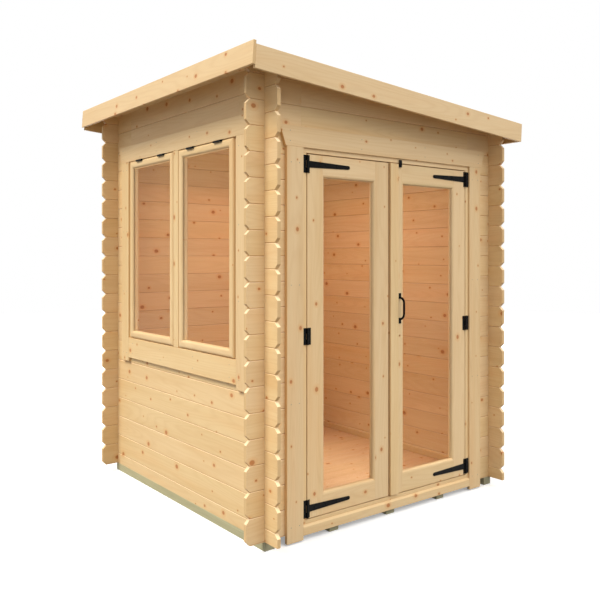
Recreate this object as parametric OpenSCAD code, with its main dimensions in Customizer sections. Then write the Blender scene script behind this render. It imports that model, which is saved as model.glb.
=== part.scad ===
// Small pent-roofed log cabin: four interlocking log walls on timber bearers, a boarded floor,
// a row of two top-hung windows in the high wall and a pair of glazed doors in the front wall.
// X runs to the right along the front wall, Y runs to the back and Z up. The high wall with the
// windows faces -X and the roof falls towards +X. The origin is on the ground under the middle of
// the walls, on the lower face of a bearer.

/* [Walls] */
// Width over the outer faces of the side walls
wall_w = 1630; // [1350:10:2000]
// Depth over the outer faces of the front and back walls
wall_d = 1630; // [1350:10:2000]
// Height of the high wall from its base to the roof boards
high_wall_h = 2178; // [2120:1:2620]
// Height of one log face, from joint to joint
log_pitch = 118; // [100:1:145]
// Height of the lowest log of the front and back walls
first_log_h = 122; // [105:1:145]
// Thickness of a log
log_t = 19; // [15:1:30]
// Length of log that runs on past each corner
log_overhang = 100; // [70:1:130]
// The same past the low wall, where the fascia hangs outside the log ends
low_overhang = 70; // [50:1:75]
// Bevel of each log end, at its top and bottom corners
end_bevel = 22; // [10:1:30]
// Bevel along the edges of each log, which makes the groove at a joint
edge_bevel = 3; // [1:0.5:5]

/* [Roof] */
// Slope of the roof in degrees
roof_slope = 4.1; // [2:0.1:4.6]
// Thickness of the roof boards
deck_t = 16; // [12:1:22]
// Thickness of the felt on the boards
felt_t = 3; // [2:0.5:5]
// Reach of the roof past the high wall, over its fascia
high_eave = 165; // [140:1:220]
// Reach of the roof past the low wall, over its fascia
low_eave = 95; // [94:1:140]
// Reach of the roof past the front and back walls, over the fascias
end_eave = 153; // [150:1:220]
// Width of a fascia board
fascia_h = 105; // [80:1:112]
// Thickness of a fascia board
fascia_t = 15; // [12:1:20]
// How far the high fascia stands above the felt
high_fascia_rise = 15; // [0:1:30]

/* [Floor] */
// Height of a bearer
bearer_h = 44; // [38:1:75]
// Width of a bearer
bearer_w = 58; // [40:1:75]
// Distance between the centre lines of the bearers, set out from the high wall
bearer_spacing = 386; // [300:1:450]
// Thickness of the floor boards
floor_t = 19; // [15:1:25]
// Height of the skirting
skirting_h = 40; // [25:1:60]
// Thickness of the skirting
skirting_t = 19; // [12:1:25]

/* [Frames and trims] */
// Clear width between the side trims of the doorway and of the windows
clear_w = 1206; // [1000:1:1206]
// Width of a trim board
trim_w = 97; // [80:1:97]
// Thickness of a trim board
trim_t = 18; // [12:1:22]
// Slant of the ends of a head board, in degrees
head_slant = 20; // [0:1:30]
// How far a head board reaches past the side trims at its lower edge
head_reach = 6; // [0:1:15]
// Depth of a door or window frame, inwards from the face of the wall
frame_depth = 45; // [40:1:60]
// How far a frame stands out from the face of the wall
frame_lip = 8; // [4:1:10]
// Width of the stop that a door or a window closes against
stop_w = 10; // [8:1:15]
// Depth of that stop
stop_t = 8; // [6:1:8]

/* [Doors] */
// Height of the underside of the door head above the wall base
door_head_z = 1791; // [1700:1:1800]
// Height of the top of the sill above the wall base
door_sill_z = 51; // [40:1:70]
// Thickness of the door posts
door_post_t = 25; // [20:1:30]
// Thickness of the door head
door_head_t = 23; // [20:1:30]
// Gap round the doors
door_gap = 5; // [5:0.5:8]
// Gap between the two doors
meeting_gap = 7; // [7:0.5:10]
// Thickness of a door
leaf_t = 40; // [34:1:40]
// Width of the stiles and rails of a door
leaf_frame_w = 94; // [70:1:110]
// Width of the strip that covers the meeting of the doors
strip_w = 58; // [50:1:70]
// Thickness of that strip
strip_t = 12; // [8:1:15]
// Thickness of the nose of the sill, over the threshold board
door_sill_t = 19; // [15:1:25]
// Height of the threshold board
threshold_h = 48; // [40:1:60]
// Bevel of its top edge
threshold_bevel = 9; // [5:1:12]
// How far the side trims of the doorway stop above the ground
trim_ground_gap = 8; // [5:1:20]

/* [Door hardware] */
// Length of a strap from the pin to its tip
strap_l = 270; // [200:1:320]
// Height of a strap at the pin
strap_root_h = 33; // [20:1:36]
// Height of a strap at its rounded tip
strap_tip_h = 18; // [10:1:20]
// Height of the plate and pin of a strap hinge
strap_plate_h = 84; // [70:1:100]
// Width of the plate beside a strap's knuckle
strap_side_w = 9; // [6:1:14]
// Height of the middle hinge of each door
butt_h = 80; // [70:1:100]
// Height of the moving knuckle of the middle hinge
butt_knuckle_h = 27; // [20:1:32]
// Width of one leaf of the middle hinge
butt_leaf_w = 22; // [18:1:25]
// Thickness of the hinge plates
plate_t = 3; // [2:0.5:3]
// Diameter of a hinge knuckle
knuckle_d = 10; // [8:0.5:10]
// Diameter of a hinge pin
pin_d = 5; // [4:0.5:6]
// Distance of the strap hinges from the top and bottom of a door
hinge_inset = 47; // [43:1:80]
// Length of the pull handle
handle_l = 160; // [120:1:200]
// Height of the middle of the handle above the bottom of the door
handle_z = 971; // [800:1:1100]
// Diameter of the bar of the handle
handle_bar_d = 11.5; // [7:0.5:12]
// How far the handle stands out from the door
handle_reach = 38; // [30:1:60]
// Length of the flat pad at each end of the handle
handle_pad_l = 24; // [18:1:30]
// Width of the pads and of the latch at the top of the door
latch_w = 18; // [14:1:24]
// Length of the latch at the top of the door
latch_l = 37; // [30:1:50]
// Thickness of the foot of that latch, on the door
latch_t = 9; // [8:0.5:12]
// Diameter of the keyhole
keyhole_d = 13; // [8:1:16]
// Distance of the keyhole below the middle of the handle
keyhole_drop = 145; // [110:1:180]

/* [Windows] */
// Height of the top of the window sill above the wall base
window_sill_z = 807; // [780:1:830]
// Height of the underside of the window head above the wall base
window_head_z = 1874; // [1700:1:1890]
// Thickness of the window posts
window_post_t = 20; // [16:1:25]
// Thickness of the window head
window_head_t = 25; // [20:1:30]
// Width of the post between the windows
mullion_w = 54; // [45:1:70]
// Height of the sill board
sill_board_h = 120; // [100:1:140]
// How far the side trims of the windows run on below the sill board
trim_drop = 23; // [0:1:40]
// Gap round a window
sash_gap = 3; // [2:0.5:5]
// Thickness of a window
sash_t = 38; // [30:1:38]
// How far a window stands out from the face of the wall
sash_proud = 20; // [10:1:24]
// Width of the stiles and the top rail of a window
sash_stile_w = 42; // [35:1:60]
// Height of the bottom rail of a window
sash_bottom_h = 36; // [30:1:60]
// Length of a window hinge
window_hinge_l = 72; // [60:1:100]
// Distance of a window hinge from the middle of its window
window_hinge_x = 138; // [100:1:180]
// Diameter of the knuckle of a window hinge
window_knuckle_d = 10; // [8:1:14]
// Width of a leaf of a window hinge, on top of the window
window_leaf_w = 28; // [20:1:30]

/* [Glass] */
// Thickness of the glass
glass_t = 4; // [3:0.5:6]
// Depth of the glass behind the face of a door
door_glass_depth = 16; // [12:1:20]
// Depth of the glass behind the face of a window
window_glass_depth = 12; // [10:1:16]

/* [Hidden] */

$fn = 48;
cut = 1;               // how far a cutting shape runs past what it cuts
hinge_play = 1;        // clearance at the hinge pins and knuckles
seat_gap = 0.3;        // clearance of pieces that rest on each other
pine = "BurlyWood";
pine_light = "Wheat";
treated = "DarkKhaki";
iron = "#202020";
felt_grey = "DimGray";
pane = "LightBlue";
pane_opacity = 0.4;

base_z = bearer_h;
floor_z = base_z + floor_t;
mid_x = wall_w / 2;
mid_y = wall_d / 2;
half_clear = clear_w / 2;
inner_x = wall_w - log_t;
inner_y = wall_d - log_t;
stack_top = base_z + high_wall_h + 2 * log_pitch;
front_joint = base_z + first_log_h;
side_joint = front_joint - log_pitch / 2;
slope_l = wall_w / cos(roof_slope);
roof_top = deck_t + felt_t;
clear_l = mid_x - half_clear;
clear_r = mid_x + half_clear;
clear_f = mid_y - half_clear;
clear_b = mid_y + half_clear;

door_sill_top = base_z + door_sill_z;
door_head = base_z + door_head_z;
door_top = door_head + door_head_t;
leaf_bottom = door_sill_top + door_gap;
leaf_top = door_head - door_gap;
leaf_h = leaf_top - leaf_bottom;
leaf_back = leaf_t - frame_lip;
door_stop_y = leaf_back + door_gap;
threshold_z = door_sill_top - door_sill_t;
leaf_reach = half_clear - door_post_t - door_gap;
pin_x = leaf_reach + door_gap / 2;
pin_y = -frame_lip - knuckle_d / 2 - hinge_play;
left_x0 = mid_x - leaf_reach;
right_x0 = mid_x - strip_w / 2;
left_x1 = right_x0 - meeting_gap;
right_x1 = mid_x + leaf_reach;
hinge_zs = [leaf_bottom + hinge_inset, leaf_top - hinge_inset];
butt_z = (leaf_bottom + leaf_top) / 2;
handle_x = mid_x + strip_w / 2 + latch_w;

window_sill = base_z + window_sill_z;
window_head = base_z + window_head_z;
window_top = window_head + window_head_t;
sash_outer = half_clear - window_post_t - sash_gap;
sash_inner = mullion_w / 2 + sash_gap;
sash_bottom = window_sill + sash_gap;
sash_top = window_head - sash_gap;
sash_back = sash_t - sash_proud;
window_stop_x = sash_back + sash_gap;
sash_mid = (sash_outer + sash_inner) / 2;
sill_joint = side_joint + log_pitch * (ceil((window_sill - side_joint) / log_pitch) - 1);

// The modules are drawn from the outer front corner of the high wall, and this moves the origin
module centred() {
  translate([-mid_x, -mid_y, 0]) children();
}

// Joints of a wall whose lowest joint is at z, from the base up past the roof
function joints(z) = [for (j = z; j < stack_top; j = j + log_pitch) j];

// A notch b deep and twice as wide at each joint of an edge at x, cut inwards along d
function notched(x, d, b, js) = [for (j = js) each [[x, j - b], [x + d * b, j], [x, j + b]]];

function reversed(list) = [for (i = [len(list) - 1:-1:0]) list[i]];

// Shape of a wall seen from its face: both corners of each log end are bevelled, and the lowest
// corners of the wall are bevelled by foot
module wall_outline(x0, x1, js, foot) {
  top = stack_top + log_pitch;
  polygon(concat(
    [[x0 + foot, base_z], [x0, base_z + foot]], notched(x0, 1, end_bevel, js), [[x0, top], [x1, top]],
    reversed(notched(x1, -1, end_bevel, js)), [[x1, base_z + foot], [x1 - foot, base_z]]
  ));
}

// Section of a wall across its thickness, with a groove in both faces at each joint
module wall_section(js) {
  top = stack_top + log_pitch;
  polygon(concat(
    [[0, base_z]], notched(0, 1, edge_bevel, js), [[0, top], [log_t, top]],
    reversed(notched(log_t, -1, edge_bevel, js)), [[log_t, base_z]]
  ));
}

// A stack of logs along X from x0 to x1, with its outer face at y = 0 and its inner face at y = log_t
module log_stack(x0, x1, first, foot) {
  js = joints(first);
  intersection() {
    translate([0, log_t, 0]) rotate([90, 0, 0]) linear_extrude(log_t) wall_outline(x0, x1, js, foot);
    translate([x0, 0, 0]) rotate([90, 0, 90]) linear_extrude(x1 - x0) wall_section(js);
  }
}

// Frame of the roof: x down the slope from the high wall's face, z square to the boards' underside
module on_roof() {
  translate([0, 0, base_z + high_wall_h]) rotate([0, roof_slope, 0]) children();
}

module above_walls() {
  on_roof() translate([-high_eave, -end_eave, 0])
    cube([slope_l + 2 * high_eave, wall_d + 2 * end_eave, stack_top]);
}

// Slots at a corner for the logs of the other wall, half a log high each
module corner_slots(x, centres) {
  for (z = centres) translate([x, -cut, z - log_pitch / 4]) cube([log_t, log_t + 2 * cut, log_pitch / 2]);
}

module end_wall() {
  difference() {
    log_stack(-log_overhang, wall_w + low_overhang, front_joint, end_bevel);
    corner_slots(0, joints(front_joint));
    corner_slots(inner_x, joints(front_joint));
    above_walls();
  }
}

// A side wall, laid along X with its outer face at y = 0
module side_stack() {
  difference() {
    log_stack(-log_overhang, wall_d + log_overhang, side_joint, 0);
    for (y = [0, inner_y]) {
      corner_slots(y, joints(side_joint));
      translate([y, -cut, base_z - cut]) cube([log_t, log_t + 2 * cut, side_joint - base_z + cut]);
    }
  }
}

// The high wall: the side stack turned so that it runs along Y with its outer face at x = 0
module window_wall() {
  difference() {
    translate([log_t, 0, 0]) rotate([0, 0, 90]) side_stack();
    above_walls();
  }
}

// Everything between two planes across the part, from the base to above the roof
module between_x(x0, x1, z0) {
  translate([x0, -end_eave, z0]) cube([x1 - x0, wall_d + 2 * end_eave, stack_top]);
}

module between_y(y0, y1, z0) {
  translate([-high_eave, y0, z0]) cube([wall_w + 2 * high_eave, y1 - y0, stack_top]);
}

// --- Walls ---

module front_wall_left() {
  color(pine) intersection() {
    end_wall();
    between_x(-high_eave, clear_l, 0);
  }
}

module front_wall_right() {
  color(pine) intersection() {
    end_wall();
    between_x(clear_r, wall_w + high_eave, 0);
  }
}

module front_wall_top() {
  color(pine) intersection() {
    end_wall();
    between_x(clear_l, clear_r, door_top);
  }
}

module back_wall() {
  color(pine) translate([0, inner_y, 0]) end_wall();
}

module right_wall() {
  color(pine) difference() {
    translate([wall_w, 0, 0]) rotate([0, 0, 90]) side_stack();
    above_walls();
  }
}

module window_wall_base() {
  color(pine) difference() {
    window_wall();
    between_y(-end_eave, wall_d + end_eave, sill_joint);
  }
}

module window_wall_front() {
  color(pine) intersection() {
    window_wall();
    between_y(-end_eave, clear_f, sill_joint);
  }
}

module window_wall_back() {
  color(pine) intersection() {
    window_wall();
    between_y(clear_b, wall_d + end_eave, sill_joint);
  }
}

module window_wall_top() {
  color(pine) intersection() {
    window_wall();
    between_y(clear_f, clear_b, window_top);
  }
}

// --- Floor ---

// Bearers set out at equal spacing from the high wall, with one more flush under the low wall
module bearers() {
  last = wall_w - bearer_w;
  places = concat([for (x = [0:bearer_spacing:last - bearer_w]) x], last);
  color(treated) for (x = places) translate([x, 0, 0]) cube([bearer_w, wall_d, bearer_h]);
}

module floor_boards() {
  color(pine_light) translate([log_t, log_t, base_z]) cube([inner_x - log_t, inner_y - log_t, floor_t]);
}

// Skirting round the room, stopped at the door frame
module skirting() {
  color(pine_light) difference() {
    translate([log_t, log_t, floor_z]) cube([inner_x - log_t, inner_y - log_t, skirting_h]);
    translate([log_t + skirting_t, log_t + skirting_t, floor_z - cut])
      cube([inner_x - log_t - 2 * skirting_t, inner_y - log_t - 2 * skirting_t, skirting_h + 2 * cut]);
    translate([clear_l, 0, floor_z - cut]) cube([clear_w, frame_depth + cut, skirting_h + 2 * cut]);
  }
}

// --- Roof ---

module roof_boards() {
  color(pine) on_roof() translate([fascia_t - high_eave, fascia_t - end_eave, 0])
    cube([slope_l + high_eave + low_eave - 2 * fascia_t, wall_d + 2 * (end_eave - fascia_t), deck_t]);
}

module roof_felt() {
  color(felt_grey) on_roof() translate([fascia_t - high_eave, fascia_t - end_eave, deck_t])
    cube([slope_l + high_eave + low_eave - 2 * fascia_t, wall_d + 2 * (end_eave - fascia_t), felt_t]);
}

module high_fascia() {
  color(pine_light) on_roof() translate([-high_eave, -end_eave, roof_top + high_fascia_rise - fascia_h])
    cube([fascia_t, wall_d + 2 * end_eave, fascia_h]);
}

module low_fascia() {
  low_x = slope_l + low_eave - fascia_t;
  color(pine_light) on_roof() translate([low_x, fascia_t - end_eave, roof_top - fascia_h])
    cube([fascia_t, wall_d + 2 * (end_eave - fascia_t), fascia_h]);
}

// A fascia down the slope, with its outer face at y = 0 and its thickness towards +Y
module slope_fascia() {
  on_roof() translate([fascia_t - high_eave, 0, roof_top - fascia_h])
    cube([slope_l + high_eave + low_eave - fascia_t, fascia_t, fascia_h]);
}

module front_fascia() {
  color(pine_light) translate([0, -end_eave, 0]) slope_fascia();
}

module back_fascia() {
  color(pine_light) translate([0, wall_d + end_eave - fascia_t, 0]) slope_fascia();
}

// --- Doorway, with the face of the wall at y = 0 ---

// Plan of a post with its stop: the post is w wide from x = 0, and its stop is s deep from y = at
module post_plan(w, front, at, s) {
  polygon([[0, -front], [w, -front], [w, at], [w + stop_w, at], [w + stop_w, at + s], [w, at + s],
    [w, frame_depth], [0, frame_depth]]);
}

module mullion_plan() {
  translate([-mullion_w / 2, -trim_t]) square([mullion_w, trim_t + frame_depth]);
  translate([-mullion_w / 2 - stop_w, window_stop_x]) square([mullion_w + 2 * stop_w, stop_t]);
}

module door_post() {
  translate([clear_l, 0, door_sill_top]) linear_extrude(door_head - door_sill_top)
    post_plan(door_post_t, frame_lip, door_stop_y, frame_depth - door_stop_y);
}

module mirrored_x() {
  children();
  translate([wall_w, 0, 0]) mirror([1, 0, 0]) children();
}

module door_posts() {
  color(pine) mirrored_x() door_post();
}

// Head and sill of the door frame, each with its stop between the stops of the posts
module door_rails() {
  stop_x = clear_l + door_post_t + stop_w;
  stop_l = clear_w - 2 * (door_post_t + stop_w);
  color(pine) {
    union() {
      translate([clear_l, -frame_lip, door_head]) cube([clear_w, frame_depth + frame_lip, door_head_t]);
      translate([stop_x, door_stop_y, door_head - stop_w]) cube([stop_l, frame_depth - door_stop_y, stop_w]);
    }
    union() {
      translate([clear_l, 0, 0]) rotate([90, 0, 90]) linear_extrude(clear_w)
        polygon([[0, base_z], [log_t, base_z], [log_t, floor_z], [frame_depth, floor_z],
          [frame_depth, door_sill_top], [-frame_lip, door_sill_top],
          [-frame_lip, threshold_z], [0, threshold_z]]);
      translate([stop_x, door_stop_y, door_sill_top]) cube([stop_l, frame_depth - door_stop_y, stop_w]);
    }
  }
}

module door_side_trims() {
  color(pine_light) mirrored_x() translate([clear_l - trim_w, -trim_t, trim_ground_gap])
    cube([trim_w, trim_t, door_top - trim_ground_gap]);
}

// A head board w wide over the side trims, laid along X from its middle, with slanted ends
module head_board(w) {
  low = w / 2 + trim_w + head_reach;
  high = low + trim_w * tan(head_slant);
  rotate([90, 0, 0]) linear_extrude(trim_t) polygon([[-low, 0], [low, 0], [high, trim_w], [-high, trim_w]]);
}

module door_head_board() {
  color(pine_light) translate([mid_x, 0, door_top]) head_board(clear_w);
}

module threshold() {
  color(pine_light) translate([clear_l, 0, threshold_z - threshold_h]) rotate([90, 0, 90])
    linear_extrude(clear_w)
      polygon([[-trim_t, 0], [0, 0], [0, threshold_h], [threshold_bevel - trim_t, threshold_h],
        [-trim_t, threshold_h - threshold_bevel]]);
}

// --- Door hinges, drawn for the left door with the pin upright at the origin ---

// Two fixed knuckles and the pin through them, for a hinge h high whose moving knuckle is m high
module fixed_knuckles(h, m) {
  for (s = [-1, 1]) translate([0, 0, s * (h + m + 2 * hinge_play) / 4])
    cylinder(d = knuckle_d, h = (h - m) / 2 - hinge_play, center = true);
  cylinder(d = pin_d, h = h - 2 * hinge_play, center = true);
}

// The plate on the post, w wide and as high as the hinge, cut back round the moving knuckle
module fixed_plate(h, m, w) {
  back_y = knuckle_d / 2 + hinge_play;
  difference() {
    translate([-w, back_y - plate_t, -h / 2]) cube([w, plate_t, h]);
    translate([-knuckle_d / 2 - 2 * hinge_play, 0, -m / 2 - hinge_play])
      cube([knuckle_d, back_y + cut, m + 2 * hinge_play]);
  }
}

// A plate or strap on the door, from its outline, joined to the moving knuckle
module moving_plate(m) {
  back_y = knuckle_d / 2 + hinge_play;
  difference() {
    union() {
      cylinder(d = knuckle_d, h = m, center = true);
      translate([0, back_y, 0]) rotate([90, 0, 0]) linear_extrude(plate_t) children();
    }
    cylinder(d = pin_d + hinge_play, h = m + 2 * cut, center = true);
  }
}

// A strap with a plate as high as the fixed one beside its knuckle. The strap ends in a round tip.
module strap_outline() {
  tip_x = strap_l - strap_tip_h / 2;
  polygon([[0, -strap_root_h / 2], [tip_x, -strap_tip_h / 2],
    [tip_x, strap_tip_h / 2], [0, strap_root_h / 2]]);
  translate([knuckle_d / 2 + hinge_play, -strap_plate_h / 2]) square([strap_side_w, strap_plate_h]);
  translate([tip_x, 0]) circle(d = strap_tip_h);
}

module butt_outline() {
  side_x = knuckle_d / 2 + hinge_play;
  translate([0, -butt_knuckle_h / 2]) square([butt_leaf_w, butt_knuckle_h]);
  translate([side_x, -butt_h / 2]) square([butt_leaf_w - side_x, butt_h]);
}

// A hinge is the same upside down, so turned over it serves the right door (side 1; left is -1)
module at_pin(side, z) {
  translate([mid_x + side * pin_x, pin_y, z]) rotate([0, 90 + side * 90, 0]) children();
}

module fixed_hinges(side) {
  for (z = hinge_zs) at_pin(side, z) {
    fixed_knuckles(strap_plate_h, strap_root_h);
    fixed_plate(strap_plate_h, strap_root_h, butt_leaf_w + door_gap / 2);
  }
  at_pin(side, butt_z) {
    fixed_knuckles(butt_h, butt_knuckle_h);
    fixed_plate(butt_h, butt_knuckle_h, butt_leaf_w + door_gap / 2);
  }
}

module moving_hinges(side) {
  for (z = hinge_zs) at_pin(side, z) moving_plate(strap_root_h) strap_outline();
  at_pin(side, butt_z) moving_plate(butt_knuckle_h) butt_outline();
}

module frame_hinges() {
  color(iron) {
    fixed_hinges(-1);
    fixed_hinges(1);
  }
}

// --- Doors: stiles run the full height, rails between them; x0 and x1 are a door's two edges ---

module leaf_stiles(x0, x1) {
  for (x = [x0, x1 - leaf_frame_w])
    translate([x, -frame_lip, leaf_bottom]) cube([leaf_frame_w, leaf_t, leaf_h]);
}

module leaf_rails(x0, x1) {
  for (z = [leaf_bottom, leaf_top - leaf_frame_w])
    translate([x0 + leaf_frame_w, -frame_lip, z]) cube([x1 - x0 - 2 * leaf_frame_w, leaf_t, leaf_frame_w]);
}

module leaf_glass(x0, x1) {
  translate([x0 + leaf_frame_w, door_glass_depth - frame_lip, leaf_bottom + leaf_frame_w])
    cube([x1 - x0 - 2 * leaf_frame_w, glass_t, leaf_h - 2 * leaf_frame_w]);
}

module left_leaf_stiles() {
  color(pine) leaf_stiles(left_x0, left_x1);
}

module left_leaf_rails() {
  color(pine) leaf_rails(left_x0, left_x1);
}

module left_leaf_glass() {
  color(pane, pane_opacity) leaf_glass(left_x0, left_x1);
}

module left_leaf_hinges() {
  color(iron) moving_hinges(-1);
}

module right_leaf_stiles() {
  keyhole_z = leaf_bottom + handle_z - keyhole_drop;
  color(pine) difference() {
    leaf_stiles(right_x0, right_x1);
    translate([handle_x, -frame_lip - cut, keyhole_z]) rotate([-90, 0, 0])
      cylinder(d = keyhole_d, h = leaf_t + 2 * cut);
  }
}

module right_leaf_rails() {
  color(pine) leaf_rails(right_x0, right_x1);
}

module right_leaf_glass() {
  color(pane, pane_opacity) leaf_glass(right_x0, right_x1);
}

module right_leaf_hinges() {
  color(iron) moving_hinges(1);
}

module cover_strip() {
  color(pine_light) translate([right_x0, -frame_lip - strip_t, leaf_bottom]) cube([strip_w, strip_t, leaf_h]);
}

// A bar bowed out from the door in one half-round at each end, on two flat pads
module pull_handle() {
  bend_r = handle_reach - handle_bar_d / 2 - plate_t;
  straight = handle_l - 2 * handle_pad_l - 2 * bend_r;
  color(iron) translate([handle_x, -frame_lip, leaf_bottom + handle_z]) {
    for (s = [-1, 1]) mirror([0, 0, (1 - s) / 2]) {
      translate([-latch_w / 2, -plate_t, straight / 2 + bend_r - handle_bar_d / 2])
        cube([latch_w, plate_t, handle_pad_l + handle_bar_d / 2]);
      translate([0, -plate_t, straight / 2]) rotate([0, -90, 0]) rotate([0, 0, -90])
        rotate_extrude(angle = 90) translate([bend_r, 0]) circle(d = handle_bar_d);
    }
    translate([0, -plate_t - bend_r, 0]) cylinder(d = handle_bar_d, h = straight, center = true);
  }
}

// A latch fixed to the top of the right door, its upper half in front of the door head
module head_latch() {
  foot = latch_l / 2 - door_gap / 2 - hinge_play;
  color(iron) translate([handle_x - latch_w / 2, -frame_lip, (door_head + leaf_top - latch_l) / 2])
    difference() {
      translate([0, -latch_t, 0]) cube([latch_w, latch_t, latch_l]);
      translate([-cut, -door_gap, foot]) cube([latch_w + 2 * cut, door_gap + cut, latch_l]);
    }
}

// --- Windows, drawn along X from the middle of the wall with the outer face at y = 0 ---

module on_window_wall() {
  translate([0, mid_y, 0]) rotate([0, 0, -90]) children();
}

module mirrored_pair() {
  children();
  mirror([1, 0, 0]) children();
}

module window_posts() {
  h = window_head - window_sill;
  color(pine) on_window_wall() translate([0, 0, window_sill]) {
    mirrored_pair() translate([-half_clear, 0, 0]) linear_extrude(h)
      post_plan(window_post_t, frame_lip, window_stop_x, stop_t);
    linear_extrude(h) mullion_plan();
  }
}

module window_rails() {
  color(pine) on_window_wall() translate([-half_clear, 0, 0]) {
    translate([0, 0, window_head]) cube([clear_w, frame_depth, window_head_t]);
    translate([0, 0, sill_joint]) cube([clear_w, frame_depth, window_sill - sill_joint]);
  }
}

module window_side_trims() {
  foot = window_sill - sill_board_h - trim_drop;
  color(pine_light) on_window_wall() mirrored_pair()
    translate([half_clear, -trim_t, foot]) cube([trim_w, trim_t, window_head - foot]);
}

module window_head_board() {
  color(pine_light) on_window_wall() translate([0, 0, window_head]) head_board(clear_w);
}

module window_sill_board() {
  color(pine_light) on_window_wall()
    translate([-half_clear, -trim_t, window_sill - sill_board_h]) cube([clear_w, trim_t, sill_board_h]);
}

module sash_stiles() {
  color(pine) on_window_wall() mirrored_pair() for (x = [sash_inner, sash_outer - sash_stile_w])
    translate([x, -sash_proud, sash_bottom]) cube([sash_stile_w, sash_t, sash_top - sash_bottom]);
}

module sash_rails() {
  w = sash_outer - sash_inner - 2 * sash_stile_w;
  color(pine) on_window_wall() mirrored_pair() translate([sash_inner + sash_stile_w, -sash_proud, 0]) {
    translate([0, 0, sash_bottom]) cube([w, sash_t, sash_bottom_h]);
    translate([0, 0, sash_top - sash_stile_w]) cube([w, sash_t, sash_stile_w]);
  }
}

module window_panes() {
  w = sash_outer - sash_inner - 2 * sash_stile_w;
  h = sash_top - sash_bottom - sash_bottom_h - sash_stile_w;
  color(pane, pane_opacity) on_window_wall() mirrored_pair()
    translate([sash_inner + sash_stile_w, window_glass_depth - sash_proud, sash_bottom + sash_bottom_h])
      cube([w, glass_t, h]);
}

// Each window hangs from two butt hinges. Their leaves lie folded in the gap over its top rail and
// their knuckles show in front of it.
module window_hinges() {
  folded_t = sash_gap - seat_gap;
  leaf_y = -sash_proud - window_knuckle_d / 2 - seat_gap;
  color(iron) on_window_wall() mirrored_pair() for (s = [-1, 1])
    translate([sash_mid + s * window_hinge_x, leaf_y, sash_top]) rotate([90, 0, 90])
      linear_extrude(window_hinge_l, center = true) {
        translate([0, (folded_t - window_knuckle_d) / 2]) circle(d = window_knuckle_d);
        square([window_leaf_w - leaf_y - sash_proud, folded_t]);
      }
}

centred() front_wall_left();
centred() front_wall_right();
centred() front_wall_top();
centred() back_wall();
centred() right_wall();
centred() window_wall_base();
centred() window_wall_front();
centred() window_wall_back();
centred() window_wall_top();
centred() bearers();
centred() floor_boards();
centred() skirting();
centred() roof_boards();
centred() roof_felt();
centred() high_fascia();
centred() low_fascia();
centred() front_fascia();
centred() back_fascia();
centred() door_posts();
centred() door_rails();
centred() door_side_trims();
centred() door_head_board();
centred() threshold();
centred() frame_hinges();
centred() left_leaf_stiles();
centred() left_leaf_rails();
centred() left_leaf_glass();
centred() left_leaf_hinges();
centred() right_leaf_stiles();
centred() right_leaf_rails();
centred() right_leaf_glass();
centred() right_leaf_hinges();
centred() cover_strip();
centred() pull_handle();
centred() head_latch();
centred() window_posts();
centred() window_rails();
centred() window_side_trims();
centred() window_head_board();
centred() window_sill_board();
centred() sash_stiles();
centred() sash_rails();
centred() window_panes();
centred() window_hinges();
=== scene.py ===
"""A small pent-roofed log cabin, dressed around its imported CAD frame.

Everything is in metres in the row frame: X to the right along the front wall, Y to the back, Z up, with
the origin on the ground under the middle of the walls.
"""

import math

import bmesh
import bpy
from mathutils import Matrix, Vector


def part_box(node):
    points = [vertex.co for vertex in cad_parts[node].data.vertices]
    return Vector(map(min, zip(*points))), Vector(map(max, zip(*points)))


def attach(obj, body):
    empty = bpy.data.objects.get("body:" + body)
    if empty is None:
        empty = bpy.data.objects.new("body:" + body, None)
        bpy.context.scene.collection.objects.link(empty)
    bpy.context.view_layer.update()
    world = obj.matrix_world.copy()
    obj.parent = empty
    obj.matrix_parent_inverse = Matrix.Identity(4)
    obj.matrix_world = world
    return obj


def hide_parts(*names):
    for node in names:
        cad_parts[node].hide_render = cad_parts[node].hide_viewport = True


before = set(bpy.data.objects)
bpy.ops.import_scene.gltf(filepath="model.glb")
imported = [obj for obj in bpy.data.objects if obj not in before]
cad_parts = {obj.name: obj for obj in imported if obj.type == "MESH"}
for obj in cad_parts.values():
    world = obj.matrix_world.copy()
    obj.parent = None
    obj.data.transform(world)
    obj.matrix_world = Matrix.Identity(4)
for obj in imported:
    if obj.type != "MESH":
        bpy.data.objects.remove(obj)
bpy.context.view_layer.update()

X, Y, Z = 0, 1, 2
LOG_PITCH = 0.118
FRONT_JOINT = 0.166  # height of a joint between logs on the front and back walls
SIDE_JOINT = 0.107  # and on the side walls
ROOF_SLOPE = math.radians(4.1)


# --- Camera, stage and light ---


def make_camera():
    cam = bpy.data.objects.new("camera", bpy.data.cameras.new("camera"))
    bpy.context.scene.collection.objects.link(cam)
    cam.location = (-2.702, -3.518, 1.345)
    cam.rotation_euler = (math.radians(90), 0, math.radians(-37.73))
    cam.data.sensor_width = 36
    cam.data.lens = 43.43
    cam.data.shift_y = -0.0729
    bpy.context.scene.camera = cam


def seen_directly(tree):
    """1 for rays that show the background: from the camera, in gloss and through glass."""
    path = tree.nodes.new("ShaderNodeLightPath")
    total = path.outputs["Is Camera Ray"]
    for ray in ("Is Glossy Ray", "Is Transmission Ray"):
        add = tree.nodes.new("ShaderNodeMath")
        add.operation = "MAXIMUM"
        tree.links.new(total, add.inputs[0])
        tree.links.new(path.outputs[ray], add.inputs[1])
        total = add.outputs[0]
    return total


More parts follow.
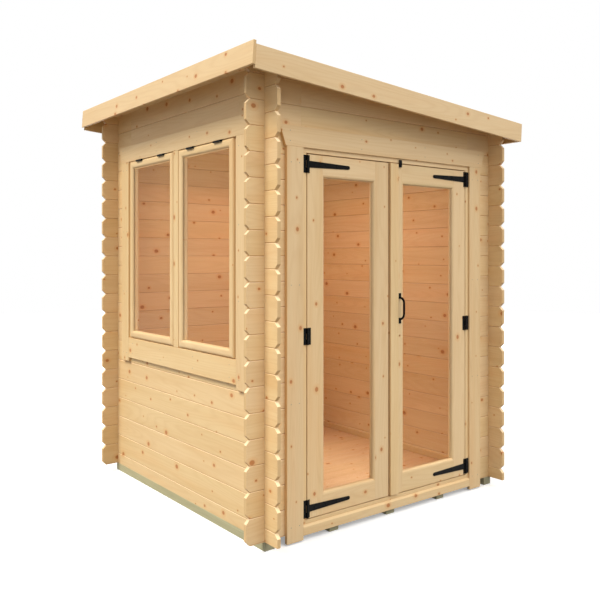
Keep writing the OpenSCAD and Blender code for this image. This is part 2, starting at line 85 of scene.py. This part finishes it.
def make_world(sky):
    """White where it is seen, and an even sky of strength sky where it lights."""
    world = bpy.data.worlds.new("studio")
    world.use_nodes = True
    bpy.context.scene.world = world
    tree = world.node_tree
    tree.nodes.clear()
    shown = tree.nodes.new("ShaderNodeBackground")
    shown.inputs["Color"].default_value = (1, 1, 1, 1)
    lit = tree.nodes.new("ShaderNodeBackground")
    lit.inputs["Color"].default_value = (0.97, 0.985, 1.0, 1)
    lit.inputs["Strength"].default_value = sky
    mix = tree.nodes.new("ShaderNodeMixShader")
    tree.links.new(seen_directly(tree), mix.inputs[0])
    tree.links.new(lit.outputs[0], mix.inputs[1])
    tree.links.new(shown.outputs[0], mix.inputs[2])
    tree.links.new(mix.outputs[0], tree.nodes.new("ShaderNodeOutputWorld").inputs[0])


def make_floor(radius=14.0):
    """A pale ground that keeps the cabin's shadow."""
    mesh = bpy.data.meshes.new("ground")
    bm = bmesh.new()
    bmesh.ops.create_circle(bm, cap_ends=True, segments=64, radius=radius)
    bm.to_mesh(mesh)
    bm.free()
    ground = bpy.data.objects.new("ground", mesh)
    ground.location.z = -0.0005
    bpy.context.scene.collection.objects.link(ground)
    material = bpy.data.materials.new("ground")
    material.use_nodes = True
    tree = material.node_tree
    tree.nodes.clear()
    plain = tree.nodes.new("ShaderNodeBsdfDiffuse")
    plain.inputs["Color"].default_value = (0.12, 0.113, 0.1, 1)
    pale = tree.nodes.new("ShaderNodeBsdfDiffuse")
    pale.inputs["Color"].default_value = (0.9, 0.9, 0.9, 1)
    glow = tree.nodes.new("ShaderNodeEmission")
    glow.inputs["Strength"].default_value = 0.3
    white = tree.nodes.new("ShaderNodeAddShader")
    tree.links.new(pale.outputs[0], white.inputs[0])
    tree.links.new(glow.outputs[0], white.inputs[1])
    mix = tree.nodes.new("ShaderNodeMixShader")
    tree.links.new(seen_directly(tree), mix.inputs[0])
    tree.links.new(plain.outputs[0], mix.inputs[1])
    tree.links.new(white.outputs[0], mix.inputs[2])
    tree.links.new(mix.outputs[0], tree.nodes.new("ShaderNodeOutputMaterial").inputs[0])
    mesh.materials.append(material)


def make_lamp(name, kind, energy, colour, place, **settings):
    """A lamp at place that shines towards the origin and isn't seen, in gloss or through glass either."""
    lamp = bpy.data.objects.new(name, bpy.data.lights.new(name, kind))
    bpy.context.scene.collection.objects.link(lamp)
    lamp.data.energy = energy
    lamp.data.color = colour
    for key, value in settings.items():
        setattr(lamp.data, key, value)
    lamp.location = place
    lamp.rotation_euler = (Vector((0, 0, 0)) - Vector(place)).to_track_quat("-Z", "Y").to_euler()
    lamp.visible_camera = False
    lamp.visible_glossy = False
    lamp.visible_transmission = False


# --- Materials ---


class Graph:
    """A material's node tree, written as expressions: each call adds one node and gives its output."""

    def __init__(self, name):
        self.material = bpy.data.materials.new(name)
        self.material.use_nodes = True
        self.tree = self.material.node_tree
        self.tree.nodes.clear()

    def node(self, kind, inputs=(), **settings):
        made = self.tree.nodes.new(kind)
        for key, value in settings.items():
            setattr(made, key, value)
        for key, value in dict(inputs).items():
            socket = made.inputs[key]
            if isinstance(value, bpy.types.NodeSocket):
                self.tree.links.new(value, socket)
            else:
                socket.default_value = value
        return made

    def math(self, operation, a, b=0.0, c=0.0):
        return self.node("ShaderNodeMath", enumerate((a, b, c)), operation=operation).outputs[0]

    def add(self, a, b):
        return self.math("ADD", a, b)

    def sub(self, a, b):
        return self.math("SUBTRACT", a, b)

    def times(self, a, b):
        return self.math("MULTIPLY", a, b)

    def join(self, x, y, z):
        return self.node("ShaderNodeCombineXYZ", enumerate((x, y, z))).outputs[0]

    def split(self, vector):
        return self.node("ShaderNodeSeparateXYZ", {0: vector}).outputs

    def ramp(self, value, low, high):
        """0 where value is low or less, 1 where it is high or more, with a smooth rise between."""
        inputs = {"Value": value, "From Min": low, "From Max": high}
        return self.node("ShaderNodeMapRange", inputs, interpolation_type="SMOOTHSTEP").outputs[0]

    def fade(self, value, low, high):
        """1 where value is low or less, 0 where it is high or more."""
        return self.sub(1.0, self.ramp(value, low, high))

    def noise(self, vector, scale=1.0, detail=2.0, roughness=0.5):
        inputs = {"Vector": vector, "Scale": scale, "Detail": detail, "Roughness": roughness}
        return self.node("ShaderNodeTexNoise", inputs).outputs[0]

    def random(self, vector):
        """Three even random numbers for each place in vector."""
        return self.split(self.node("ShaderNodeTexWhiteNoise", {"Vector": vector}).outputs["Color"])

    def blend(self, factor, a, b, how="MIX"):
        inputs = {"Factor": factor, "A": colour(a), "B": colour(b)}
        made = self.node("ShaderNodeMix", data_type="RGBA", blend_type=how)
        for key, value in inputs.items():
            socket = next(s for s in made.inputs if s.name == key and s.enabled)
            if isinstance(value, bpy.types.NodeSocket):
                self.tree.links.new(value, socket)
            else:
                socket.default_value = value
        return next(s for s in made.outputs if s.enabled)

    def bump(self, height, distance, strength):
        inputs = {"Height": height, "Distance": distance, "Strength": strength}
        return self.node("ShaderNodeBump", inputs).outputs[0]

    def finish(self, shader):
        self.tree.links.new(shader, self.node("ShaderNodeOutputMaterial").inputs[0])
        return self.material


def colour(value):
    """An RGB triple as a socket's four numbers; a socket stays as it is."""
    return value if isinstance(value, bpy.types.NodeSocket) else (*value, 1.0)


# Tones of a wood: its light and dark streaks, the late wood of its rings, and its warm patches
SPRUCE = {
    "light": (0.83, 0.605, 0.335), "dark": (0.765, 0.525, 0.265),
    "late": (0.60, 0.35, 0.15), "warm": (0.82, 0.50, 0.23),
}
FLOORING = {
    "light": (0.76, 0.51, 0.30), "dark": (0.70, 0.45, 0.25),
    "late": (0.54, 0.29, 0.13), "warm": (0.76, 0.43, 0.22),
}
TREATED = {
    "light": (0.54, 0.51, 0.34), "dark": (0.44, 0.41, 0.265),
    "late": (0.27, 0.245, 0.14), "warm": (0.55, 0.48, 0.28),
}
KNOT = (0.50, 0.18, 0.055)
KNOT_HALO = (0.76, 0.41, 0.16)
CRACK = (0.40, 0.15, 0.055)
# painted highlight for the log bevels that face up
PAINTED_BEVEL_HIGHLIGHT = (0.95, 0.77, 0.52)
GLASS_IOR = 1.06  # low, so that the white surroundings don't haze the panes

KNOT_SPACING = 0.23  # along the grain
KNOT_STRETCH = 0.8  # a knot's width over its length
LOOSE_WIDTH = 0.1  # width of a board that is a loose part of its mesh
RING_COUNT = 150.0
END_RINGS = 1900.0


def knots(g, along, row, across, width, size, share):
    """How much of a knot and of its halo lies at a place: along the grain in m, across it in widths."""
    at = g.join(g.times(along, 1 / KNOT_SPACING), g.add(row, across), 0.0)
    found = g.node("ShaderNodeTexVoronoi", {"Vector": at, "Scale": 1.0}, voronoi_dimensions="2D")
    near = g.split(found.outputs["Position"])
    here = g.split(at)
    dx = g.times(g.sub(here[0], near[0]), KNOT_STRETCH * KNOT_SPACING)
    dy = g.times(g.sub(here[1], near[1]), width)
    far = g.math("SQRT", g.add(g.times(dx, dx), g.times(dy, dy)))
    far = g.add(far, g.times(g.sub(g.noise(at, 60.0), 0.5), 0.006))
    luck = g.split(found.outputs["Color"])
    radius = g.times(g.add(g.math("POWER", luck[0], 2.0), 0.35), size)
    there = g.math("LESS_THAN", luck[1], share)
    reach = g.math("DIVIDE", far, radius)
    core = g.times(there, g.fade(reach, 0.7, 1.15))
    halo = g.times(there, g.fade(reach, 0.8, 2.8))
    return core, halo


def wood(name, along, across, tone=SPRUCE, rows=None, seed=0.0, knot=0.0095, share=0.92, rough=0.55,
         sawn=0.0):
    """Planed softwood with its grain along one axis. rows is (first joint, pitch) where one mesh holds
    many boards; otherwise each loose part of the mesh is a board. knot sets the size of the knots, share
    is the share of their places that have one, and sawn is 1 on rough-sawn wood."""
    g = Graph(name)
    place = g.node("ShaderNodeTexCoord")
    xyz = g.split(place.outputs["Object"])
    normal = g.split(place.outputs["Normal"])
    a, b, c = xyz[along], xyz[across], xyz[3 - along - across]
    if rows:
        start, width = rows
        counted = g.math("DIVIDE", g.sub(b, start), width)
        row = g.math("FLOOR", counted)
        local = g.math("FRACT", counted)
    else:
        width = LOOSE_WIDTH
        island = g.node("ShaderNodeNewGeometry").outputs["Random Per Island"]
        row = g.math("FLOOR", g.times(island, 997.0))
        local = g.math("DIVIDE", b, width)

    # Each board is cut from another place in the same wood
    luck = g.random(g.join(row, seed, 0.5))
    u = g.add(a, g.times(luck[0], 37.0))
    v = g.add(g.times(local, width), g.times(luck[1], 5.0))
    w = g.add(c, g.times(luck[2], 5.0))

    def stretched(length, girth):
        return g.join(g.times(u, length), g.times(v, girth), g.times(w, girth))

    # Growth rings, streaks and fibre
    core, halo = knots(g, u, row, local, width, knot, share)
    field = g.add(g.noise(stretched(0.55, 6.5), 1.0, 1.5), g.times(halo, 0.05))
    rings = g.add(g.times(g.math("SINE", g.times(field, RING_COUNT)), 0.5), 0.5)
    rings = g.math("POWER", rings, 2.5)
    streak = g.noise(stretched(1.1, 16.0), 1.0, 3.0)
    fibre = g.noise(stretched(9.0, 420.0), 1.0, 2.0)
    patches = g.noise(g.join(g.times(u, 0.8), g.times(v, 9.0), w), 1.0, 2.0)
    skin = g.blend(g.ramp(streak, 0.36, 0.82), tone["light"], tone["dark"])
    skin = g.blend(g.times(g.ramp(patches, 0.5, 0.75), 0.36), skin, tone["warm"])
    skin = g.blend(g.times(rings, 0.13), skin, tone["late"])
    skin = g.blend(g.times(g.ramp(fibre, 0.45, 0.75), 0.12), skin, tone["late"])

    # Joints between logs, and painted light on the bevels over and under them: bevels that face up are
    # painted lighter as a highlight, and bevels that face down are painted darker as shade
    if rows:
        from_joint = g.times(g.math("MINIMUM", local, g.sub(1.0, local)), width)
        skin = g.blend(g.times(g.fade(from_joint, 0.0003, 0.0012), 0.85), skin, CRACK)
        # painted highlight on bevels facing up, and painted shade in the late-wood tone on bevels facing
        # down
        for way, painted_light_tint in ((1.0, PAINTED_BEVEL_HIGHLIGHT), (-1.0, tone["late"])):
            facing = g.ramp(g.times(normal[Z], way), 0.4, 0.65)
            skin = g.blend(g.times(facing, 0.5), skin, painted_light_tint)

    skin = g.blend(g.times(halo, 0.45), skin, KNOT_HALO)
    skin = g.blend(g.times(core, 0.88), skin, KNOT)
    level = g.add(0.965, g.times(luck[1], 0.06))
    blue = g.times(level, g.add(0.96, g.times(luck[2], 0.08)))
    skin = g.blend(1.0, skin, g.join(level, level, blue), "MULTIPLY")

    # Cut ends show the rings round the pith
    pith_across = g.sub(b, g.add(g.times(luck[0], 0.02), 0.03))
    pith_deep = g.add(c, 0.06)
    pith = g.math("SQRT", g.add(g.math("POWER", pith_across, 2.0), g.math("POWER", pith_deep, 2.0)))
    cut_rings = g.add(g.times(g.math("SINE", g.times(pith, END_RINGS)), 0.5), 0.5)
    end_skin = g.blend(g.times(cut_rings, 0.35), [k * 0.93 for k in tone["dark"]], tone["late"])
    skin = g.blend(g.ramp(g.math("ABSOLUTE", normal[along]), 0.8, 0.95), skin, end_skin)

    height = g.add(g.times(rings, 0.5), g.add(fibre, g.times(core, -1.2)))
    relief = g.bump(height, 0.00025 + 0.0008 * sawn, 0.6)
    dull = g.add(rough - 0.06, g.times(fibre, 0.14))
    inputs = {"Base Color": skin, "Roughness": dull, "Normal": relief, "Specular IOR Level": 0.3}
    return g.finish(g.node("ShaderNodeBsdfPrincipled", inputs).outputs[0])


def felt():
    """Mineral roofing felt: grey-green granules on bitumen."""
    g = Graph("felt")
    at = g.node("ShaderNodeTexCoord").outputs["Object"]
    grain = g.node("ShaderNodeTexVoronoi", {"Vector": at, "Scale": 420.0})
    patch = g.noise(at, 3.0, 4.0)
    skin = g.blend(g.split(grain.outputs["Color"])[0], (0.075, 0.09, 0.08), (0.20, 0.22, 0.19))
    skin = g.blend(g.times(g.ramp(patch, 0.35, 0.7), 0.35), skin, (0.10, 0.11, 0.10))
    relief = g.bump(grain.outputs["Distance"], 0.0012, 0.8)
    inputs = {"Base Color": skin, "Roughness": 0.92, "Normal": relief, "Specular IOR Level": 0.2}
    return g.finish(g.node("ShaderNodeBsdfPrincipled", inputs).outputs[0])


def black_iron():
    """Black powder coat with its fine orange-peel skin."""
    g = Graph("black_iron")
    at = g.node("ShaderNodeTexCoord").outputs["Object"]
    peel = g.noise(at, 900.0, 2.0)
    wear = g.noise(at, 60.0, 4.0)
    skin = g.blend(g.ramp(wear, 0.35, 0.75), (0.003, 0.003, 0.003), (0.006, 0.006, 0.006))
    rough = g.add(0.34, g.times(wear, 0.2))
    inputs = {"Base Color": skin, "Roughness": rough, "Normal": g.bump(peel, 0.0002, 0.4),
              "Specular IOR Level": 0.07}
    return g.finish(g.node("ShaderNodeBsdfPrincipled", inputs).outputs[0])


def bright_steel():
    """Zinc-plated nail and screw heads, dulled."""
    g = Graph("nail_steel")
    at = g.node("ShaderNodeTexCoord").outputs["Object"]
    wear = g.noise(at, 300.0, 3.0)
    skin = g.blend(wear, (0.22, 0.2, 0.17), (0.42, 0.4, 0.36))
    rough = g.add(0.35, g.times(wear, 0.25))
    inputs = {"Base Color": skin, "Roughness": rough, "Metallic": 1.0}
    return g.finish(g.node("ShaderNodeBsdfPrincipled", inputs).outputs[0])


def clear_glass():
    """Float glass that lets lamps through."""
    g = Graph("clear_glass")
    at = g.node("ShaderNodeTexCoord").outputs["Object"]
    wave = g.bump(g.noise(at, 2.2, 1.0), 0.0004, 0.3)
    inputs = {"Base Color": (0.985, 1.0, 0.99, 1), "Roughness": 0.0, "IOR": GLASS_IOR,
              "Transmission Weight": 1.0}
    pane = g.node("ShaderNodeBsdfPrincipled", {**inputs, "Normal": wave}).outputs[0]
    through = g.node("ShaderNodeBsdfTransparent", {"Color": (0.97, 0.99, 0.98, 1)}).outputs[0]
    lamp_ray = g.node("ShaderNodeLightPath").outputs["Is Shadow Ray"]
    return g.finish(g.node("ShaderNodeMixShader", {0: lamp_ray, 1: pane, 2: through}).outputs[0])


# --- Pieces ---


def bridge(bm, ends):
    """Closes a prism between two rings of vertices, each the other's copy."""
    for end in ends:
        bm.faces.new(end)
    for k in range(len(ends[0])):
        n = (k + 1) % len(ends[0])
        bm.faces.new((ends[0][k], ends[0][n], ends[1][n], ends[1][k]))


def piece(name, bm, material, body="cabin", smooth=False):
    """A finished mesh as an object that rides on a body."""
    bmesh.ops.recalc_face_normals(bm, faces=bm.faces)
    mesh = bpy.data.meshes.new(name)
    bm.to_mesh(mesh)
    bm.free()
    mesh.materials.append(material)
    if smooth:
        mesh.shade_smooth()
        mesh.set_sharp_from_angle(angle=math.radians(40))
    made = bpy.data.objects.new(name, mesh)
    bpy.context.scene.collection.objects.link(made)
    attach(made, body)
    return made


def board(bm, low, high, edge, turn=None):
    """A bar between two corners with its edges eased, turned by a matrix where it lies on a slope."""
    low, high = Vector(low), Vector(high)
    made = bmesh.ops.create_cube(bm, size=1.0)["verts"]
    for v in made:
        v.co = (low + high) / 2 + Vector(p * q for p, q in zip(v.co, high - low))
    edges = list({e for v in made for e in v.link_edges})
    eased = bmesh.ops.bevel(bm, geom=edges, offset=edge, segments=2, affect="EDGES", profile=0.6)
    made = list({v for f in eased["faces"] for v in f.verts})
    if turn:
        bmesh.ops.transform(bm, matrix=turn, verts=made)


def lathe(bm, profile, place, facing, steps=16):
    """A round solid: profile is (radius, height) from its rim inwards, standing on place along facing."""
    turn = Vector(facing).to_track_quat("Z", "Y").to_matrix().to_4x4()
    spin = Matrix.Translation(place) @ turn
    rings = []
    for radius, height in profile:
        if radius == 0:
            rings.append([bm.verts.new(spin @ Vector((0, 0, height)))])
            continue
        angles = [2 * math.pi * k / steps for k in range(steps)]
        points = [Vector((radius * math.cos(t), radius * math.sin(t), height)) for t in angles]
        rings.append([bm.verts.new(spin @ point) for point in points])
    for low, high in zip(rings, rings[1:]):
        for k in range(steps):
            n = k + 1
            corners = [low[k % len(low)], low[n % len(low)], high[n % len(high)], high[k % len(high)]]
            corners = list(dict.fromkeys(corners))
            if len(corners) > 2:
                bm.faces.new(corners)


SCREW = ((0.0045, 0), (0.0045, 0.0006), (0.0038, 0.0014), (0.0022, 0.0019), (0.0018, 0.0010), (0, 0.0008))
NAIL = ((0.0021, 0), (0.0021, 0.0003), (0.0016, 0.0006), (0, 0.0008))
CLOUT = ((0.006, 0), (0.006, 0.0006), (0.005, 0.0011), (0, 0.0014))


def mitred(stiles, rails, rect, profile, place):
    """A moulding mitred round rect, (u0, u1, v0, v1): its upright sides go to the bmesh stiles and its
    level ones to rails. profile is a closed outline of (inset, depth), and place turns (u, v, depth)
    into a point."""
    u0, u1, v0, v1 = rect
    for side in range(4):
        bm = stiles if side % 2 else rails
        ends = []
        for corner in (side, (side + 1) % 4):
            right, top = corner in (1, 2), corner in (2, 3)
            us = [u1 - inset if right else u0 + inset for inset, _ in profile]
            vs = [v1 - inset if top else v0 + inset for inset, _ in profile]
            ends.append([bm.verts.new(place(u, v, depth)) for u, v, (_, depth) in zip(us, vs, profile)])
        bridge(bm, ends)


def mitred_pieces(label, rect, profile, place, across, body="cabin", seed=0.0):
    """The upright and the level sides of a mitred moulding, as two pieces with their own grain."""
    made = []
    meshes = (bmesh.new(), bmesh.new())
    mitred(*meshes, rect, profile, place)
    for name, bm, along, over in (("stiles", meshes[0], Z, across), ("rails", meshes[1], across, Z)):
        grain = wood(f"{label}_{name}", along, over, seed=seed, knot=0.005, share=0.3)
        made.append(piece(f"{label}_{name}", bm, grain, body, smooth=True))
    return made


def ovolo(width, front, back, lip, steps=5):
    """Outline of a bead: a flat lip at the frame, then a quarter round down to the glass."""
    turns = [math.pi / 2 * k / steps for k in range(steps + 1)]
    arc = [(lip + (width - lip) * math.sin(t), back - (back - front) * math.cos(t)) for t in turns]
    return [(0.0, front), *arc, (0.0, back)]


def parts_of(node, count, axis):
    """Boxes of the loose solids of a node, as count equal slices of it along an axis."""
    points = [v.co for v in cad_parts[node].data.vertices]
    low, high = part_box(node)
    step = (high[axis] - low[axis]) / count
    slack = 1e-6
    boxes = []
    for k in range(count):
        near = low[axis] + k * step
        own = [p for p in points if near - slack <= p[axis] <= near + step + slack]
        boxes.append([[pick(p[i] for p in own) for i in range(3)] for pick in (min, max)])
    return boxes


make_camera()
make_world(0.66)
make_floor()
make_lamp("sun", "SUN", 2.95, (1.0, 0.96, 0.86), place=(-4.1, 0.6, 5.2), angle=math.radians(24))
make_lamp("front", "SUN", 1.8, (0.99, 0.98, 0.96), place=(1.2, -3.8, 4.0), angle=math.radians(55))
make_lamp("room", "AREA", 4.9, (1.0, 0.54, 0.41), place=(0, 0, 1.85), size=1.0)

IRON = black_iron()
STEEL = bright_steel()
GLASS = clear_glass()
FELT = felt()


def ease(node, material, width):
    """Gives a CAD node its material and eases its edges by width."""
    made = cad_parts[node]
    mesh = made.data
    mesh.materials.clear()
    mesh.materials.append(material)
    if not width:
        return
    if "custom_normal" in mesh.attributes:
        mesh.attributes.remove(mesh.attributes["custom_normal"])
    mesh.shade_flat()
    made.modifiers.new("weld", "WELD").merge_threshold = 1e-5
    flat = made.modifiers.new("flat", "DECIMATE")
    flat.decimate_type = "DISSOLVE"
    flat.angle_limit = math.radians(0.5)
    bevel = made.modifiers.new("eased", "BEVEL")
    bevel.width = width
    bevel.segments = 2
    bevel.limit_method = "ANGLE"
    bevel.angle_limit = math.radians(30)
    bevel.use_clamp_overlap = True


WALLS = {
    "front_wall_left": (X, FRONT_JOINT), "front_wall_right": (X, FRONT_JOINT),
    "front_wall_top": (X, FRONT_JOINT), "back_wall": (X, FRONT_JOINT),
    "right_wall": (Y, SIDE_JOINT), "window_wall_base": (Y, SIDE_JOINT),
    "window_wall_front": (Y, SIDE_JOINT), "window_wall_back": (Y, SIDE_JOINT),
    "window_wall_top": (Y, SIDE_JOINT),
}
for number, (node, (along, joint)) in enumerate(WALLS.items()):
    ease(node, wood(f"logs_{node}", along, Z, rows=(joint, LOG_PITCH), seed=number + 0.5), 0.0008)

BOARDS = {
    "bearers": (Y, X), "skirting": (X, Z), "high_fascia": (Y, Z), "low_fascia": (Y, Z),
    "front_fascia": (X, Z), "back_fascia": (X, Z), "door_posts": (Z, X), "door_rails": (X, Z),
    "door_side_trims": (Z, X), "door_head_board": (X, Z), "threshold": (X, Z),
    "left_leaf_stiles": (Z, X), "left_leaf_rails": (X, Z), "right_leaf_stiles": (Z, X),
    "right_leaf_rails": (X, Z), "cover_strip": (Z, X), "window_posts": (Z, Y),
    "window_rails": (Y, Z), "window_side_trims": (Z, Y), "window_head_board": (Y, Z),
    "window_sill_board": (Y, Z),
}
USUAL_EDGE = 0.0015
EDGES = {
    "cover_strip": 0.003, "threshold": 0.001, "skirting": 0.004, "bearers": 0.002,
    "window_posts": 0.003, "left_leaf_stiles": 0.0007, "left_leaf_rails": 0.0007,
    "right_leaf_stiles": 0.0007, "right_leaf_rails": 0.0007,
}
for number, (node, (along, across)) in enumerate(BOARDS.items()):
    if node == "bearers":
        kind = {"tone": TREATED, "rough": 0.8, "share": 0.0, "sawn": 1.0}
    else:
        kind = {"rough": 0.52, "share": 0.85}
    made = wood(f"board_{node}", along, across, seed=number + 20.5, knot=0.008, **kind)
    ease(node, made, EDGES.get(node, USUAL_EDGE))

for node in ("left_leaf_glass", "right_leaf_glass", "window_panes"):
    ease(node, GLASS, 0)
IRONWORK = (
    "frame_hinges", "left_leaf_hinges", "right_leaf_hinges", "pull_handle", "head_latch", "window_hinges",
)
for node in IRONWORK:
    ease(node, IRON, 0)


# --- Glazing beads: quarter rounds mitred round each pane, outside and inside ---

BEAD_PLAY = 0.0002
CLEAR_OF_FACE = 0.0005


def door_beads(leaf, body, seed):
    (x0, front, z0), (x1, back, z1) = (list(p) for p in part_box(f"{leaf}_glass"))
    face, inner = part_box(f"{leaf}_stiles")[0].y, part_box(f"{leaf}_stiles")[1].y
    sides = (("outer", face, 1, front - face), ("inner", inner, -1, inner - back))
    for name, start, way, depth in sides:
        outline = ovolo(0.013, CLEAR_OF_FACE, depth - BEAD_PLAY, 0.0008)
        place = lambda u, v, d: Vector((u, start + way * d, v))
        mitred_pieces(f"{leaf}_{name}_bead", (x0, x1, z0, z1), outline, place, X, body, seed)


def sash_profile(width, depth, glass_front, glass_back):
    """Section of a window's frame from its outer edge: rounded outside, a long round down to the glass
    at the front and a small one behind, and a rebate that the pane stands in."""
    outer, inner, behind = 0.012, 0.013, 0.006
    quarter = [math.pi / 2 * k / 5 for k in range(6)]
    front = [(outer - outer * math.cos(t), outer - outer * math.sin(t)) for t in quarter]
    down = [(width - inner + inner * math.sin(t), glass_front - glass_front * math.cos(t)) for t in quarter]
    up = [(width - behind + behind * math.cos(t), depth - behind + behind * math.sin(t)) for t in quarter]
    return [*front, *down, (width, glass_back), *up, (0.0, depth)]


def window_sashes():
    """Each window's moulded frame, which stands for the plain stiles and rails."""
    low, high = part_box("sash_stiles")
    made = []
    for number, (near, far) in enumerate(parts_of("window_panes", 2, Y)):
        points = [v.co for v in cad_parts["sash_stiles"].data.vertices]
        own = [p for p in points if (p.y > 0) == (near[1] > 0)]
        rect = (min(p.y for p in own), max(p.y for p in own), low.z, high.z)
        width = near[1] - rect[0]
        outline = sash_profile(width, high.x - low.x, near[0] - low.x - BEAD_PLAY, far[0] - low.x)
        place = lambda u, v, d: Vector((low.x + d, u, v))
        label = f"window_{number + 1}_sash"
        made += mitred_pieces(label, rect, outline, place, Y, seed=45.5 + number)
    for sash in made:
        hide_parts("sash_stiles", "sash_rails")


# --- Floor, roof and felt ---


def floor_planks(count=17, gap=0.0006):
    low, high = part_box("floor_boards")
    width = (high.y - low.y) / count
    bm = bmesh.new()
    for k in range(count):
        y = low.y + k * width
        board(bm, (low.x, y + gap / 2, low.z), (high.x, y + width - gap / 2, high.z), 0.0012)
    material = wood("floor_planks", X, Y, FLOORING, seed=61.5, knot=0.010, share=1.0)
    made = piece("floor_planks", bm, material)
    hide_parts("floor_boards")


def roof_frame_box(node):
    """Corners of a node in the roof's own frame: x down the slope, z square to it."""
    back = Matrix.Rotation(-ROOF_SLOPE, 4, "Y")
    points = [back @ v.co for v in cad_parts[node].data.vertices]
    return [Vector([pick(p[i] for p in points) for i in range(3)]) for pick in (min, max)]


def roof_planks(count=19, gap=0.0006):
    low, high = roof_frame_box("roof_boards")
    width = (high.x - low.x) / count
    turn = Matrix.Rotation(ROOF_SLOPE, 4, "Y")
    bm = bmesh.new()
    for k in range(count):
        x = low.x + k * width
        board(bm, (x + gap / 2, low.y, low.z), (x + width - gap / 2, high.y, high.z), 0.0025, turn)
    made = piece("roof_planks", bm, wood("roof_planks", Y, X, seed=62.5, knot=0.009))
    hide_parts("roof_boards")


def felt_sheets(width=1.0, lap=0.08, ramp=0.006):
    """Two sheets along the eaves, the upper one lapped over the lower, with a row of clout nails."""
    low, high = roof_frame_box("roof_felt")
    t = (high.z - low.z) / 2
    turn = Matrix.Rotation(ROOF_SLOPE, 4, "Y")
    seam = high.x - width
    outlines = {
        "lower": [(seam, 0), (high.x, 0), (high.x, t), (seam, t)],
        "upper": [(low.x, 0), (seam - ramp, 0), (seam, t), (seam + lap, t), (seam + lap, 2 * t),
                  (seam, 2 * t), (seam - ramp, t), (low.x, t)],
    }
    made = []
    for name, outline in outlines.items():
        bm = bmesh.new()
        ends = [
            [bm.verts.new(turn @ Vector((x, y, low.z + z))) for x, z in outline]
            for y in (low.y, high.y)
        ]
        bridge(bm, ends)
        made.append(piece(f"felt_{name}_sheet", bm, FELT))
    for sheet in made:
        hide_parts("roof_felt")
    bm = bmesh.new()
    inset = 0.03
    length = high.y - low.y - 2 * inset
    rows = ((seam + lap - 0.025, 2 * t, 0.075), (low.x + inset, t, 0.15), (high.x - inset, t, 0.15))
    for x, z, step in rows:
        spaces = round(length / step)
        for k in range(spaces + 1):
            y = low.y + inset + length * k / spaces
            place = turn @ Vector((x, y, low.z + z))
            lathe(bm, CLOUT, place, turn @ Vector((0, 0, 1)), 10)
    piece("felt_nails", bm, STEEL, smooth=True)


# --- Screws and nails ---


def fixings(name, places, facing, kind, material, body="cabin"):
    bm = bmesh.new()
    for place in places:
        lathe(bm, kind, Vector(place), facing, 14)
    piece(name, bm, material, body, smooth=True)


PLATE_T = 0.003
PIN_X = 0.5755
STRAP_PLATE_H = 0.084
SCREW_INSET = 0.009  # of a handle's or latch's screw, from the end of its plate
LEAF_SCREW_X = 0.0145  # from the pin to the screws of the middle hinge on the door
POST_SCREW_X = 0.016  # and to the screws on the post
STRAP_SCREWS = (0.045, 0.115, 0.185, 0.258)
BUTT_SCREWS = (-0.027, 0, 0.027)


def hinge_screws(side, leaf, body):
    """Screws of one door's hinges. side is -1 for the left door and 1 for the right."""
    low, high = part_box(f"{leaf}_hinges")
    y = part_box(f"{leaf}_stiles")[0].y - PLATE_T
    pin = side * PIN_X
    straps = (low.z + STRAP_PLATE_H / 2, high.z - STRAP_PLATE_H / 2)
    middle = (low.z + high.z) / 2
    on_leaf = [(pin - side * reach, y, z) for z in straps for reach in STRAP_SCREWS]
    on_leaf += [(pin - side * LEAF_SCREW_X, y, middle + dz) for dz in BUTT_SCREWS]
    on_frame = [(pin + side * POST_SCREW_X, y, z + dz) for z in (*straps, middle) for dz in BUTT_SCREWS]
    fixings(f"{leaf}_hinge_screws", on_leaf, (0, -1, 0), SCREW, IRON, body)
    fixings(f"{leaf}_frame_screws", on_frame, (0, -1, 0), SCREW, IRON)


def handle_screws():
    low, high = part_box("pull_handle")
    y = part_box("right_leaf_stiles")[0].y - PLATE_T
    x = (low.x + high.x) / 2
    places = [(x, y, z) for z in (low.z + SCREW_INSET, high.z - SCREW_INSET)]
    fixings("handle_screws", places, (0, -1, 0), SCREW, IRON, "right_door")
    low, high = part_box("head_latch")
    fixings("latch_screw", [(x, low.y, low.z + SCREW_INSET)], (0, -1, 0), SCREW, IRON, "right_door")


NAIL_INSET = 0.06  # from the end of a level board


def trim_nails():
    """Pairs of nails across each trim board, at four places along it."""
    spots = []
    level = (("door_head_board", Y, X), ("window_head_board", X, Y), ("window_sill_board", X, Y))
    for node, face, along in level:
        low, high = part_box(node)
        middle, half = (low[along] + high[along]) / 2, (high[along] - low[along]) / 2
        for k in (-1, -0.34, 0.34, 1):
            for height in (0.25, 0.75):
                place = [0.0, 0.0, low.z + (high.z - low.z) * height]
                place[face] = low[face]
                place[along] = middle + k * (half - NAIL_INSET)
                spots.append((place, face))
    for node, face, along in (("door_side_trims", Y, X), ("window_side_trims", X, Y)):
        for low, high in parts_of(node, 2, along):
            for share in (0.04, 0.35, 0.65, 0.96):
                for across in (0.25, 0.75):
                    place = [0.0, 0.0, low[2] + (high[2] - low[2]) * share]
                    place[face] = low[face]
                    place[along] = low[along] + (high[along] - low[along]) * across
                    spots.append((place, face))
    bm = bmesh.new()
    for place, face in spots:
        lathe(bm, NAIL, Vector(place), [-1.0 if k == face else 0.0 for k in range(3)], 10)
    piece("trim_nails", bm, STEEL, smooth=True)


LEAVES = (("left_leaf", "left_door", -1), ("right_leaf", "right_door", 1))
for number, (leaf, body, side) in enumerate(LEAVES):
    door_beads(leaf, body, 41.5 + number)
    hinge_screws(side, leaf, body)
window_sashes()
handle_screws()
trim_nails()
floor_planks()
roof_planks()
felt_sheets()

bpy.context.scene.view_settings.view_transform = "Standard"
